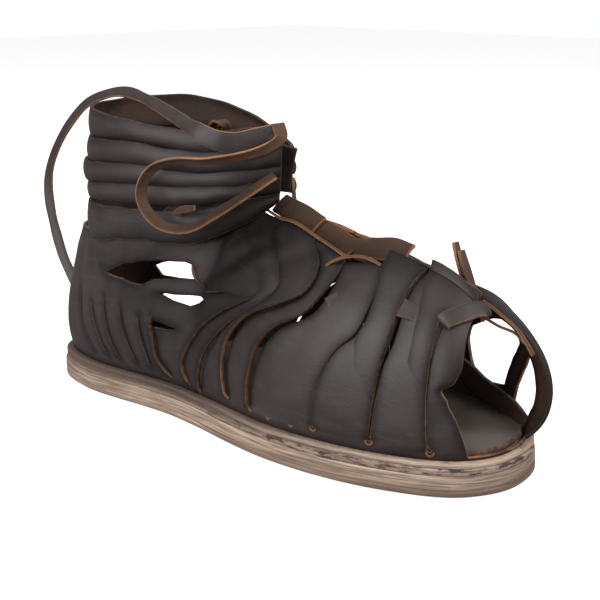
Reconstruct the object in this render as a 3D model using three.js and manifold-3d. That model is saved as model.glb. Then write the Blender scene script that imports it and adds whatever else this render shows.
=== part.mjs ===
// Strapped leather sandal for the left foot, in mm: +X to the toe, +Y to the outer side, +Z up.
import * as THREE from 'three';
import { mergeVertices } from 'three/addons/utils/BufferGeometryUtils.js';
import Module from 'manifold-3d';

const wasm = await Module();
wasm.setup();

const gap = 0.3;            // clearance between neighbouring pieces
const originX = 140;        // distance of the origin from the back of the sole
const outsoleTop = 9;       // thick lower layers of the sole
const soleTop = 14.2;       // upper face of the thin rim layer
const rimInset = 0.9;       // the rim layer stands this far inside the outsole
const insoleThick = 2.6;
const insoleInset = 8.2;    // edge of the insole, measured in from the outsole edge
const featherInset = 5;     // mid wall of the upper, measured in from the outsole edge
const wall = 2.2;           // leather of the upper
const thongWide = 6;        // lace thong
const thongThick = 2;
const bandRise = 0.03;      // uncut band along the sole, as a height of the form

// Turns rows of numbers under a line of column names into plain records.
const table = (columns, rows) => {
  const names = columns.split(' ');
  return rows.map((row) => Object.fromEntries(names.map((name, i) => [name, row[i]])));
};

// Edge of the outsole, anticlockwise from the back of the heel; the toe tip is row 7.
const edge = table('x y', [
  [0, -1], [9, -22], [42, -35], [108, -36], [193, -49], [246, -42.5], [277, -26],
  [285, -2], [269, 33], [180, 56], [105, 43.5], [40, 38], [10, 25],
]);
const toeRow = 7;

// Form of the foot and ankle. share: way along the sole edge from heel to toe tip.
// top: end of the section (out = from the middle). foot: start handle, head: end handle.
const formColumns = 'share topX topOut topZ footRise footLean headX headOut headZ';
const innerForm = table(formColumns, [
  [0.00, 26, 0, 140, 36, 5, 0, 0, -66],
  [0.08, 34, 20, 140, 36, 5, 0, -3, -66],
  [0.16, 52, 32, 138, 34, 3, -3, -5, -62],
  [0.26, 86, 36, 134, 30, 1, -8, -4, -58],
  [0.35, 120, 23, 132, 30, 0, -14, 0, -52],
  [0.41, 139, 6, 131, 32, 0, -12, 10, -50],
  [0.455, 145, 7, 101, 36, 0, -14, 18, -22],
  [0.58, 178, 9, 97, 40, 1, -10, 24, -10],
  [0.68, 205, 7, 93, 38, 2, -4, 30, -8],
  [0.78, 230, 8, 88, 34, 3, -1, 30, -8],
  [0.88, 254, 8, 82, 30, 3, 2, 26, -8],
  [0.96, 268, 5, 72, 26, 3, 6, 18, -8],
  [1.00, 274, 0, 62, 22, 3, 6, 0, -8],
]);
const outerForm = table(formColumns, [
  [0.00, 26, 0, 140, 36, 5, 0, 0, -66],
  [0.08, 34, 20, 141, 36, 5, 0, -3, -66],
  [0.16, 52, 32, 140, 34, 3, -3, -5, -62],
  [0.26, 86, 36, 138, 30, 1, -8, -4, -58],
  [0.35, 120, 28, 134, 30, 0, -14, 0, -52],
  [0.41, 141, 14, 126, 32, 0, -12, 10, -48],
  [0.455, 148, 9, 103, 36, 0, -14, 18, -22],
  [0.58, 178, 9, 93, 40, 1, -10, 24, -10],
  [0.68, 205, 8, 88, 38, 2, -4, 28, -8],
  [0.78, 230, 9, 82, 34, 3, -1, 26, -8],
  [0.88, 254, 9, 77, 24, 8, 16, 14, -7],
  [0.925, 255, 8, 74, 8, 14, 46, 4, -16],
  [0.96, 264, 6, 69, 14, 12, 24, 4, -10],
  [1.00, 274, 0, 62, 22, 3, 6, 0, -8],
]);

// Heights of the form at which the cut lines are given.
const stations = [0, 0.1, 0.2, 0.3, 0.4, 0.5, 0.6, 0.75, 0.9];

// One line between two straps. at: share of the sole edge at each station; gap: width of the cut
// in mm, one number or one per station; opens, shuts: reach of the cut up the line; near, far:
// height where the leather ends on the heel side and the toe side; cells: mesh cells up to the next.
const cut = (at, cells, gap = 0, opens = 0.03, shuts = 0, near = 1, far = near) => ({
  at: stations.map((_, i) => at[Math.min(i, at.length - 1)]),
  gap: stations.map((_, i) => (Array.isArray(gap) ? gap[i] : gap)),
  cells, opens, shuts, near, far,
});

const heelCuts = (shuts) => [
  cut([0], 4),
  cut([0.200, 0.168, 0.140, 0.128, 0.122], 1, 0.8, 0.03, shuts),
  cut([0.235, 0.210, 0.190, 0.175, 0.168], 1, 0.8, 0.03, shuts),
  cut([0.262, 0.240, 0.222, 0.212, 0.206], 1, 0.8, 0.03, shuts),
  cut([0.300, 0.280, 0.262, 0.252, 0.247], 1, 0.8, 0.03, shuts),
  cut([0.332, 0.314, 0.298, 0.289, 0.285], 1, 0.8, 0.03, Math.min(shuts, 0.28)),
];
const innerCuts = [
  ...heelCuts(0.34),
  cut([0.385, 0.338, 0.325, 0.316, 0.330, 0.335], 3, 1.2, 0.03, 0.30),
  cut([0.430, 0.400, 0.406, 0.437, 0.493, 0.530, 0.530, 0.480, 0.420], 2, 1.2, 0.03, 0.42),
  cut([0.450, 0.449, 0.463, 0.494, 0.540, 0.580, 0.590, 0.560, 0.510], 2, [2, 2.6, 2.4, 1.6, 1, 0, 0, 0, 0],
    0.03, 0.42, 1.03),
  cut([0.535, 0.520, 0.519, 0.530, 0.565, 0.630, 0.668, 0.663, 0.615], 2, [1.2, 1.6, 2.2, 3.2, 3.4, 2, 1, 1, 1],
    0.03, 1, 0.94, 0.93),
  cut([0.585, 0.583, 0.591, 0.606, 0.637, 0.685, 0.702, 0.705, 0.690], 3, [1, 1.2, 2.2, 3.2, 3.6, 3.2, 3, 1, 1],
    0.03, 1, 0.84, 0.80),
  cut([0.718, 0.718, 0.723, 0.735, 0.752, 0.778, 0.784, 0.779, 0.760], 2, [1, 1, 1.4, 2, 2.2, 2.6, 2.6, 1, 1],
    0.03, 1, 0.86, 0.99),
  cut([0.806, 0.810, 0.815, 0.822, 0.830, 0.845, 0.848, 0.842, 0.836], 2, [1.6, 1.6, 1.6, 1.8, 3, 7.5, 8, 3, 1],
    0.03, 1, 1.02, 1.03),
  cut([0.890, 0.890, 0.890, 0.890, 0.890, 0.895, 0.900, 0.902, 0.903], 2, 1.8, 0.03, 0.81, 1.06),
  cut([0.948, 0.937, 0.925, 0.906, 0.920, 0.930, 0.938, 0.942, 0.945], 3, 0, 0, 0, 1.08, 0),
  cut([1], 0),
];
const outerCuts = [
  ...heelCuts(0.13),
  cut([0.385, 0.348, 0.335, 0.326, 0.335, 0.335], 3, 1.6, 0.03, 0.30),
  cut([0.430, 0.405, 0.411, 0.437, 0.480, 0.510, 0.520, 0.480, 0.420], 2, 3, 0.03, 0.42),
  cut([0.460, 0.455, 0.458, 0.470, 0.520, 0.560, 0.575, 0.550, 0.505], 2, [2, 3, 4.5, 5, 2, 0, 0, 0, 0],
    0.03, 0.42, 1.05),
  cut([0.532, 0.527, 0.531, 0.538, 0.562, 0.610, 0.635, 0.635, 0.600], 2, [1.2, 3, 5, 3.5, 2, 1, 1, 1, 1],
    0.03, 1, 1.03, 1.00),
  cut([0.585, 0.580, 0.586, 0.600, 0.625, 0.660, 0.675, 0.680, 0.670], 3, [1, 2, 2.6, 3, 3, 2.4, 1.6, 1, 1],
    0.03, 1, 1.00, 1.05),
  cut([0.665, 0.665, 0.672, 0.690, 0.700, 0.715, 0.730, 0.735, 0.735], 2, [1, 2, 3.2, 3.4, 2.4, 2, 1.4, 1, 1],
    0.03, 1, 1.03, 1.00),
  cut([0.795, 0.795, 0.792, 0.798, 0.813, 0.836, 0.848, 0.842, 0.832], 2, [16, 18, 26, 32, 33, 25, 10, 2, 1],
    0.12, 0.60),
  cut([0.872, 0.873, 0.878, 0.883, 0.887, 0.889, 0.890, 0.888, 0.885], 2, [16, 16, 16, 13, 7, 3, 2, 2, 2],
    0.03, 0.45),
  cut([0.930], 2, 0, 0, 0, 1, 0),
  cut([1], 0),
];

// Rows of the mesh from the sole to the top line.
const rows = [0, bandRise, 0.08, 0.12, 0.145, 0.20, 0.275, 0.34, 0.425, 0.49, 0.55, 0.62, 0.68, 0.745, 0.825,
  0.885, 0.94, 1];

// Openings that run along the shoe on one row: lower and upper lip at each share of the sole edge.
const opening = (row, down, up, outline) => ({ row, down, up, outline: table('share low high', outline) });
const slot = (row, half) => opening(row, 0.01, 0.01,
  [[-1, row - half, row + half], [0.37, row - half, row + half], [0.385, row, row]]);
const collarSlots = [slot(0.825, 0.006), slot(0.885, 0.006), slot(0.94, 0.006)];
const innerOpenings = [
  opening(0.275, 0.04, 0.04, [[0.317, 0.262, 0.288], [0.335, 0.256, 0.293], [0.364, 0.262, 0.281], [0.372, 0.275, 0.275]]),
  opening(0.425, 0.08, 0.03, [[0.322, 0.425, 0.425], [0.350, 0.398, 0.428], [0.390, 0.380, 0.430], [0.426, 0.425, 0.425]]),
  opening(0.49, 0.05, 0.12, [[0.205, 0.470, 0.470], [0.250, 0.468, 0.540], [0.290, 0.455, 0.562],
    [0.310, 0.480, 0.566], [0.370, 0.492, 0.560], [0.396, 0.490, 0.490]]),
  opening(0.62, 0.03, 0.04, [[-1, 0.596, 0.606], [0.14, 0.590, 0.600], [0.26, 0.643, 0.652], [0.33, 0.645, 0.654],
    [0.38, 0.640, 0.650], [0.395, 0.645, 0.645]]),
  slot(0.745, 0.013), ...collarSlots,
];
const outerOpenings = [
  opening(0.20, 0.05, 0.05, [[0.115, 0.200, 0.200], [0.130, 0.165, 0.225], [0.175, 0.158, 0.240],
    [0.215, 0.180, 0.235], [0.230, 0.200, 0.200]]),
  opening(0.34, 0.06, 0.08, [[0.100, 0.340, 0.340], [0.117, 0.310, 0.385], [0.150, 0.302, 0.405],
    [0.215, 0.315, 0.410], [0.245, 0.340, 0.340]]),
  opening(0.62, 0.03, 0.04, [[-1, 0.596, 0.606], [0.14, 0.590, 0.600], [0.30, 0.630, 0.640], [0.38, 0.640, 0.650],
    [0.395, 0.640, 0.640]]),
  opening(0.745, 0.05, 0.02, [[-1, 0.732, 0.758], [0.30, 0.732, 0.758], [0.35, 0.705, 0.765], [0.39, 0.715, 0.765],
    [0.405, 0.745, 0.745]]),
  ...collarSlots,
];

const clamp = THREE.MathUtils.clamp;

// Value at x on the smooth curve (cubic Hermite, mean slopes) through the rows of one column.
const along = (points, key, name, x) => {
  const last = points.length - 1;
  let i = points.findIndex((row) => row[key] > x) - 1;
  if (i < 0) i = x <= points[0][key] ? 0 : last - 1;
  const slope = (k) => {
    const a = points[Math.max(k - 1, 0)], b = points[Math.min(k + 1, last)];
    return (b[name] - a[name]) / (b[key] - a[key]);
  };
  const p = points[i], q = points[i + 1], h = q[key] - p[key];
  const s = clamp((x - p[key]) / h, 0, 1);
  const s2 = s * s, s3 = s2 * s;
  return (2 * s3 - 3 * s2 + 1) * p[name] + (s3 - 2 * s2 + s) * h * slope(i)
    + (3 * s2 - 2 * s3) * q[name] + (s3 - s2) * h * slope(i + 1);
};

const soleCurve = new THREE.CatmullRomCurve3(
  edge.map((row) => new THREE.Vector3(row.x, row.y, 0)), true, 'centripetal');

// Outsole edge moved inwards by a distance, as points at equal steps of the curve's own parameter.
const insetEdge = (distance, steps) => Array.from({ length: steps }, (_, i) => {
  const u = i / steps;
  const point = soleCurve.getPoint(u), dir = soleCurve.getTangent(u);
  return new THREE.Vector2(point.x - dir.y * distance, point.y + dir.x * distance);
});

// One half of the feather line from heel to toe tip, with its length measured along it.
const halfRail = (side) => {
  const steps = 160, toeShare = toeRow / edge.length;
  const rail = [];
  let length = 0;
  for (let i = 0; i <= steps; i++) {
    const u = side < 0 ? (toeShare * i) / steps : 1 - ((1 - toeShare) * i) / steps;
    const at = soleCurve.getPoint(u % 1), dir = soleCurve.getTangent(u % 1);
    const row = { x: at.x - dir.y * featherInset, y: at.y + dir.x * featherInset,
      outX: dir.y, outY: -dir.x, length: 0 };
    if (i) length += Math.hypot(row.x - rail[i - 1].x, row.y - rail[i - 1].y);
    row.length = length;
    rail.push(row);
  }
  return rail;
};
const rails = { [-1]: halfRail(-1), 1: halfRail(1) };

const onRail = (side, share) => {
  const rail = rails[side], want = clamp(share, 0, 1) * rail.at(-1).length;
  let i = 1;
  while (i < rail.length - 1 && rail[i].length < want) i++;
  const p = rail[i - 1], q = rail[i], s = (want - p.length) / (q.length - p.length);
  const mix = (name) => p[name] + (q[name] - p[name]) * s;
  return { x: mix('x'), y: mix('y'), outX: mix('outX'), outY: mix('outY') };
};

// Point of the mid wall: side -1 inner, 1 outer; a cubic arch from the sole edge to the top line.
// Above height 1 it runs on, slightly outwards from the arch's own end.
const onForm = (side, share, height) => {
  const form = side < 0 ? innerForm : outerForm;
  const get = (name) => along(form, 'share', name, share);
  const rail = onRail(side, share);
  const start = new THREE.Vector3(rail.x, rail.y, soleTop + gap);
  const lean = get('footLean');
  const p1 = start.clone().add(new THREE.Vector3(rail.outX * lean, rail.outY * lean, get('footRise')));
  const end = new THREE.Vector3(get('topX'), side * get('topOut'), get('topZ'));
  const p2 = end.clone().add(new THREE.Vector3(get('headX'), side * get('headOut'), get('headZ')));
  const t = clamp(height, 0, 1), r = 1 - t;
  const point = start.multiplyScalar(r * r * r).addScaledVector(p1, 3 * r * r * t)
    .addScaledVector(p2, 3 * r * t * t).addScaledVector(end, t * t * t);
  if (height > 1) {
    const rise = end.clone().sub(p2).normalize().multiplyScalar(0.4).add(new THREE.Vector3(0, 0, 1));
    point.addScaledVector(rise.normalize(), (height - 1) * 100);
  }
  return point;
};

const step = 0.004;
const slopeOf = (side, share, height, alongSole) => {
  const da = alongSole ? step : 0, dh = alongSole ? 0 : step;
  const back = alongSole ? Math.max(share - da, 0) : share;
  const low = alongSole ? height : Math.max(height - dh, 0);
  return onForm(side, share + da, height + dh).sub(onForm(side, back, low))
    .divideScalar(alongSole ? share + da - back : height + dh - low);
};

const outward = (side, share, height) => {
  const normal = slopeOf(side, Math.min(share, 0.995), height, true)
    .cross(slopeOf(side, Math.min(share, 0.995), height, false));
  if (side > 0) normal.negate();
  if (share < 1e-6 || share > 1 - 1e-6) normal.y = 0;
  if (height < 1e-6) normal.z = 0;
  return normal.normalize();
};

const lineAt = (line, height) => along(
  stations.map((t, i) => ({ t, v: line.at[i] })), 't', 'v', clamp(height, 0, 0.9));
const gapAt = (line, height) => {
  if (height <= line.opens + 1e-6 || height >= (line.shuts < 1 ? line.shuts - 1e-6 : 9)) return 0;
  const i = clamp(stations.findIndex((t) => t > height) - 1, 0, stations.length - 2);
  const s = clamp((height - stations[i]) / (stations[i + 1] - stations[i]), 0, 1);
  return Math.max(line.gap[i] + (line.gap[i + 1] - line.gap[i]) * s, 0.8);
};
// Straight lines between the rows of an outline; nothing outside it.
const lipAt = (outline, name, share, none) => {
  const i = outline.findIndex((row) => row.share > share) - 1;
  if (i < 0) return none;
  const p = outline[i], q = outline[i + 1];
  return p[name] + ((q[name] - p[name]) * (share - p.share)) / (q.share - p.share);
};

// Collects the two faces of the leather and, where a face edge is free, the cut edge between them.
class Leather {
  constructor() { this.keys = new Map(); this.mid = []; this.normal = []; this.faces = []; }

  vertex(point, normal) {
    const key = point.toArray().map((v) => Math.round(v * 50)).join();
    if (!this.keys.has(key)) {
      this.keys.set(key, this.mid.length);
      this.mid.push(point);
      this.normal.push(normal);
    }
    return this.keys.get(key);
  }

  triangle(a, b, c) { if (a !== b && b !== c && a !== c) this.faces.push([a, b, c]); }

  solid(thick) {
    const count = this.mid.length, position = [], index = [];
    for (const half of [thick / 2, -thick / 2]) {
      this.mid.forEach((p, i) => position.push(...p.clone().addScaledVector(this.normal[i], half)));
    }
    const edges = new Map();
    for (const [a, b, c] of this.faces) {
      index.push(a, b, c, a + count, c + count, b + count);
      for (const [p, q] of [[a, b], [b, c], [c, a]]) edges.set(`${p} ${q}`, [p, q]);
    }
    for (const [p, q] of edges.values()) {
      if (!edges.has(`${q} ${p}`)) index.push(p, p + count, q, q, p + count, q + count);
    }
    const geometry = new THREE.BufferGeometry();
    geometry.setAttribute('position', new THREE.Float32BufferAttribute(position, 3));
    geometry.setIndex(index);
    return geometry;
  }
}

const strapUpper = () => {
  const leather = new Leather();
  for (const side of [-1, 1]) {
    const cuts = side < 0 ? innerCuts : outerCuts;
    const openings = side < 0 ? innerOpenings : outerOpenings;
    for (let k = 0; k < cuts.length - 1; k++) {
      const back = cuts[k], front = cuts[k + 1];
      const bandOnly = back.far === 0;
      // Corner of a cell: across = 0..1 over the strap, row, above = +1 for the cell over the row.
      const corner = (across, row, above) => {
        const head = back.far + (front.near - back.far) * across;
        let height = bandOnly || row < 0.5 ? row : 0.49 + ((row - 0.49) / 0.51) * (head - 0.49);
        const a0 = lineAt(back, height), a1 = lineAt(front, height);
        let share = a0 + (a1 - a0) * across;
        const pace = slopeOf(side, share, height, true).length();
        share += (gapAt(back, row) * (1 - across) - gapAt(front, row) * across) / (2 * pace);
        for (const open of openings) {
          const over = Math.abs(row - open.row) < 1e-6 ? above > 0 : row > open.row;
          const lip = lipAt(open.outline, over ? 'high' : 'low', share, open.row);
          const fade = clamp(1 - Math.abs(row - open.row) / (over ? open.up : open.down), 0, 1);
          height += (lip - open.row) * fade;
        }
        return leather.vertex(onForm(side, share, height), outward(side, share, height));
      };
      for (let i = 0; i < back.cells; i++) {
        const u0 = i / back.cells, u1 = (i + 1) / back.cells;
        for (let j = 0; j < (bandOnly ? 1 : rows.length - 1); j++) {
          const a = corner(u0, rows[j], 1), b = corner(u1, rows[j], 1);
          const c = corner(u1, rows[j + 1], -1), d = corner(u0, rows[j + 1], -1);
          if (side < 0) { leather.triangle(a, b, c); leather.triangle(a, c, d); }
          else { leather.triangle(a, c, b); leather.triangle(a, d, c); }
        }
      }
    }
  }
  return leather.solid(wall);
};

// Slab with the sole's outline between two heights.
const slab = (inset, low, high, steps) => {
  const geometry = new THREE.ExtrudeGeometry(new THREE.Shape(insetEdge(inset, steps)),
    { depth: high - low, bevelEnabled: false, steps: 1 });
  return geometry.translate(0, 0, low);
};

// Flat thong swept along a smooth path; its width keeps to one direction.
const thong = (points, across, steps, wide = thongWide, thick = thongThick) => {
  const path = new THREE.CatmullRomCurve3(
    points.map((row) => new THREE.Vector3(row.x, row.y, row.z)), false, 'centripetal');
  const position = [], index = [];
  for (let i = 0; i <= steps; i++) {
    const u = i / steps, at = path.getPoint(u), dir = path.getTangent(u);
    const face = dir.clone().cross(across).normalize();
    const flat = face.clone().cross(dir).normalize();
    for (const [w, t] of [[-1, -1], [1, -1], [1, 1], [-1, 1]]) {
      position.push(...at.clone().addScaledVector(flat, (w * wide) / 2)
        .addScaledVector(face, (t * thick) / 2));
    }
  }
  for (let i = 0; i < steps; i++) {
    for (let k = 0; k < 4; k++) {
      const a = i * 4 + k, b = i * 4 + ((k + 1) % 4);
      index.push(a, b, a + 4, b, b + 4, a + 4);
    }
  }
  const n = steps * 4;
  index.push(0, 2, 1, 0, 3, 2, n, n + 1, n + 2, n, n + 2, n + 3);
  const geometry = new THREE.BufferGeometry();
  geometry.setAttribute('position', new THREE.Float32BufferAttribute(position, 3));
  geometry.setIndex(index);
  return geometry;
};

const toManifold = (geometry) => {
  const plain = new THREE.BufferGeometry();
  plain.setAttribute('position', geometry.getAttribute('position').clone());
  if (geometry.index) plain.setIndex(geometry.index.clone());
  const merged = mergeVertices(plain, 1e-4);
  return new wasm.Manifold(new wasm.Mesh({ numProp: 3,
    vertProperties: Float32Array.from(merged.getAttribute('position').array),
    triVerts: Uint32Array.from(merged.index.array) }));
};
const fromManifold = (solid) => {
  const mesh = solid.getMesh();
  const geometry = new THREE.BufferGeometry();
  geometry.setAttribute('position', new THREE.Float32BufferAttribute(mesh.vertProperties, 3));
  geometry.setIndex(Array.from(mesh.triVerts));
  return geometry;
};

// Lace between the two edges of the throat: one run up the middle, bars under the straps.
const laceRun = table('x y z', [
  [246, 0, 76.4], [228, 0, 82], [205, 0, 86.5], [178, 0, 90.5], [154, 0, 94],
]);
const laceBars = table('x z reach drop', [
  [240, 78.2, 12, 6.5], [216, 84.4, 12, 6.5], [190, 88.6, 12, 6.5], [162, 92.5, 12, 6.5],
]);
const throatLace = () => {
  let solid = toManifold(thong(laceRun, new THREE.Vector3(0, 1, 0), 24));
  for (const bar of laceBars) {
    const points = [[-bar.reach, -bar.drop], [-bar.reach / 2, -bar.drop / 2], [0, 0], [bar.reach / 2, -bar.drop / 2],
      [bar.reach, -bar.drop]].map(([y, z]) => ({ x: bar.x, y, z: bar.z + z }));
    solid = solid.add(toManifold(thong(points, new THREE.Vector3(1, 0, -0.2), 8)));
  }
  return fromManifold(solid);
};

// Loose lace: near loop on the inner side, tall loop behind the heel, one end standing at the toe.
const bowLoop = table('x y z', [
  [149.5, -3.5, 140], [152, -10, 131], [144, -21, 125.5], [134, -31, 123], [121, -38, 122.5],
  [109, -41.5, 119], [101.5, -42.5, 112], [99.8, -42.7, 104], [104.5, -42, 96.5], [115, -41, 92],
  [128, -37, 93], [138, -30, 100], [147, -19, 109], [153.5, -9.5, 116],
]);
const backLoop = table('x y z', [
  [108, -11, 138.5], [92, -6, 137.5], [73, 1, 139.5], [52, 6, 143], [34, 8, 146], [16, 8, 145.5],
  [-6, 8, 136], [-29, 8, 118.5], [-42, 8, 98], [-43, 8, 80], [-34, 8, 54], [-22, 8, 38], [-14, 8, 30],
]);
const toeEnd = table('x y z', [[249, 1, 97], [252, 1, 88], [257, 1, 79], [264, 0, 71], [268, -1, 63]]);

const leatherDark = { color: '#463a35', roughness: 0.5, metalness: 0 };
const looks = {
  outsole: { color: '#a58f78', roughness: 0.8, metalness: 0 },
  rim: { color: '#96806a', roughness: 0.8, metalness: 0 },
  insole: { color: '#3c3230', roughness: 0.6, metalness: 0 },
  upper: leatherDark,
  lace: { color: '#55402f', roughness: 0.7, metalness: 0 },
};

const group = new THREE.Group();
const put = (name, geometry, look) => {
  const mesh = new THREE.Mesh(geometry.translate(-originX, 0, 0), new THREE.MeshStandardMaterial(look));
  mesh.name = name;
  group.add(mesh);
};
const sideways = new THREE.Vector3(0, 1, 0);

put('outsole', slab(0, 0, outsoleTop, 104), looks.outsole);
put('rim', slab(rimInset, outsoleTop, soleTop, 104), looks.rim);
put('insole', slab(insoleInset, soleTop, soleTop + insoleThick, 104), looks.insole);
put('upper', strapUpper(), looks.upper);
put('throat_lace', throatLace(), looks.lace);
put('bow_loop', thong(bowLoop, new THREE.Vector3(0.2, -1, 0.1), 44), looks.lace);
put('back_loop', thong(backLoop, sideways, 44), looks.lace);
put('toe_end', thong(toeEnd, sideways, 12, 5), looks.lace);

export default group;
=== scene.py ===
import math

import bpy
import numpy as np
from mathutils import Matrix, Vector, kdtree


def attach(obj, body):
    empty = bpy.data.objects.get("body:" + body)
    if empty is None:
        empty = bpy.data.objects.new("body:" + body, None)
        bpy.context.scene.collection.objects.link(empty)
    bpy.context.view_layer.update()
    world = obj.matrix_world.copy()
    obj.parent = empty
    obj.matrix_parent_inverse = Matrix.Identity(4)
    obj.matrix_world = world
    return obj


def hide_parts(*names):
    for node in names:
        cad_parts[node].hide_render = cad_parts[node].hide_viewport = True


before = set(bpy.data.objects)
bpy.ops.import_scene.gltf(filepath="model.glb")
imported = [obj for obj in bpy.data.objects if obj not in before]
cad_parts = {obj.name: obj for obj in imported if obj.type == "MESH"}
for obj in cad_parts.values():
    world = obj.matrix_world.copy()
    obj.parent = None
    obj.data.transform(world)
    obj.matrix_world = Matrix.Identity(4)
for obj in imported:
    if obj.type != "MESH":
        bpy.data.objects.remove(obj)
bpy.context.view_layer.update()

mm = 0.001
backToOrigin = 140.0    # the frame's origin lies this far in front of the back of the heel


# shoe millimetres (x from the back of the heel) to metres in the frame: (x - backToOrigin, y, z) / 1000
def toFrame(points):
    out = np.array(points, float) * mm
    out[..., 0] -= backToOrigin * mm
    return out


# the rotation that turns a camera or a lamp at one place towards another
def turnTo(at, to):
    return Vector(np.subtract(to, at)).to_track_quat("-Z", "Y").to_euler()


def addObject(name, data):
    obj = bpy.data.objects.new(name, data)
    bpy.context.scene.collection.objects.link(obj)
    return obj


# camera
shot = dict(place=(633.0, -473.0, 211.1), aim=(155.0, 5.0, 57.0), lens=90.0)
cameraData = bpy.data.cameras.new("camera")
cameraData.sensor_width = 36
cameraData.lens = shot["lens"]
camera = addObject("camera", cameraData)
camera.location = toFrame(shot["place"])
camera.rotation_euler = turnTo(toFrame(shot["place"]), toFrame(shot["aim"]))
bpy.context.scene.camera = camera
bpy.context.scene.view_settings.view_transform = "Standard"


# small mathematics, in shoe millimetres

# a table as one array for each of its names
def columns(names, rows):
    data = np.array(rows, float)
    return {name: data[:, i] for i, name in enumerate(names.split())}


# cubic Hermite curve through the points, slope at each = rise over run of its neighbours; flat outside them
def smooth(x, xs, ys):
    x = np.clip(np.asarray(x, float), xs[0], xs[-1])
    slope = np.empty(len(xs))
    slope[1:-1] = (ys[2:] - ys[:-2]) / (xs[2:] - xs[:-2])
    slope[0] = (ys[1] - ys[0]) / (xs[1] - xs[0])
    slope[-1] = (ys[-1] - ys[-2]) / (xs[-1] - xs[-2])
    i = np.clip(np.searchsorted(xs, x, side="right") - 1, 0, len(xs) - 2)
    h = xs[i + 1] - xs[i]
    s = (x - xs[i]) / h
    s2, s3 = s * s, s * s * s
    return ((2 * s3 - 3 * s2 + 1) * ys[i] + (s3 - 2 * s2 + s) * h * slope[i]
            + (3 * s2 - 2 * s3) * ys[i + 1] + (s3 - s2) * h * slope[i + 1])


def unit(v):
    return v / np.maximum(np.linalg.norm(v, axis=-1, keepdims=True), 1e-9)


# centripetal Catmull-Rom curve through a ring of points, and its direction
def closedCurve(points, perSpan):
    p = [np.roll(points, k, axis=0)[:, None, :] for k in (1, 0, -1, -2)]
    d = [np.sqrt(np.maximum(np.linalg.norm(p[k + 1] - p[k], axis=2, keepdims=True), 1e-6)) for k in range(3)]
    m1 = ((p[1] - p[0]) / d[0] - (p[2] - p[0]) / (d[0] + d[1]) + (p[2] - p[1]) / d[1]) * d[1]
    m2 = ((p[2] - p[1]) / d[1] - (p[3] - p[1]) / (d[1] + d[2]) + (p[3] - p[2]) / d[2]) * d[1]
    t = (np.arange(perSpan) / perSpan)[None, :, None]
    at = p[1] + m1 * t + (3 * (p[2] - p[1]) - 2 * m1 - m2) * t ** 2 + (2 * (p[1] - p[2]) + m1 + m2) * t ** 3
    go = m1 + 2 * (3 * (p[2] - p[1]) - 2 * m1 - m2) * t + 3 * (2 * (p[1] - p[2]) + m1 + m2) * t ** 2
    return at.reshape(-1, points.shape[1]), unit(go.reshape(-1, points.shape[1]))


# slow uneven swell: the mean of six sine waves of random direction and phase, about size mm long
def waves(p, size, amount, seed):
    r = np.random.default_rng(seed)
    out = np.zeros(p.shape[:-1])
    for _ in range(6):
        way = unit(r.normal(size=3)) * (2 * math.pi / (size * r.uniform(0.7, 1.5)))
        out += np.sin(p @ way + r.uniform(0, 6.28)) / 6
    return out * amount


# a short list of numbers drawn out smoothly over t, which runs from 0 to 1
def spread(values, t):
    values = np.atleast_1d(np.array(values, float))
    if len(values) == 1:
        return np.full(np.shape(t), values[0])
    return smooth(t, np.linspace(0, 1, len(values)), values)


# node helpers

# a colour on the scale of 0 to 255, made linear
def srgb(r, g, b):
    c = np.array([r, g, b]) / 255
    return tuple(np.where(c <= 0.04045, c / 12.92, ((c + 0.055) / 1.055) ** 2.4))


class Net:
    # a node tree with short ways to add and join nodes; a value is a number, a colour or a socket
    def __init__(self, tree):
        self.nodes, self.links = tree.nodes, tree.links

    def put(self, socket, value):
        if isinstance(value, bpy.types.NodeSocket):
            self.links.new(value, socket)
        elif socket.type == "RGBA":
            socket.default_value = (*value, 1)
        else:
            socket.default_value = value

    def add(self, kind, out=0, sockets=None, **settings):
        node = self.nodes.new("ShaderNode" + kind)
        for key, value in settings.items():
            setattr(node, key, value)
        for key, value in (sockets or {}).items():
            self.put(node.inputs[key], value)
        return node.outputs[out]

    def noise(self, where, scale, detail=3.0, roughness=0.55):
        sockets = dict(Vector=where, Scale=scale, Detail=detail, Roughness=roughness)
        return self.add("TexNoise", "Fac", sockets)

    def math(self, operation, a, b=0.0):
        return self.add("Math", 0, {0: a, 1: b}, operation=operation)

    def times(self, a, b):
        return self.math("MULTIPLY", a, b)

    def plus(self, a, b):
        return self.math("ADD", a, b)

    # remap a value so that low gives 0 and high gives 1, clamped
    def step(self, value, low, high):
        return self.add("MapRange", 0, {"Value": value, "From Min": low, "From Max": high})

    def mix(self, factor, a, b, blend="MIX"):
        node = self.nodes.new("ShaderNodeMix")
        node.data_type, node.blend_type = "RGBA", blend
        self.put(node.inputs[0], factor)
        self.put(node.inputs[6], a)
        self.put(node.inputs[7], b)
        return node.outputs[2]

    def stretch(self, where, scale, turn=(0, 0, 0)):
        return self.add("Mapping", 0, dict(Vector=where, Scale=scale, Rotation=turn))

    # noise drawn out along the axes: scale is how fine it is along x, y and z
    def streaks(self, where, scale, detail=3.0, roughness=0.55, turn=(0, 0, 0)):
        return self.noise(self.stretch(where, scale, turn), 1.0, detail, roughness)

    # another colour laid over a tone by the product of its masks
    def over(self, tone, colour, mask, *masks):
        for other in masks:
            mask = self.times(mask, other)
        return self.mix(mask, tone, colour)

    def bump(self, strength, distance, height, **more):
        return self.add("Bump", 0, dict(Strength=strength, Distance=distance, Height=height, **more))

    def ramp(self, value, stops):
        node = self.nodes.new("ShaderNodeValToRGB")
        elements = node.color_ramp.elements
        while len(elements) < len(stops):
            elements.new(0.5)
        for element, (place, tone) in zip(elements, stops):
            element.position, element.color = place, (tone, tone, tone, 1)
        self.links.new(value, node.inputs["Fac"])
        return node.outputs["Color"]


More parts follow.
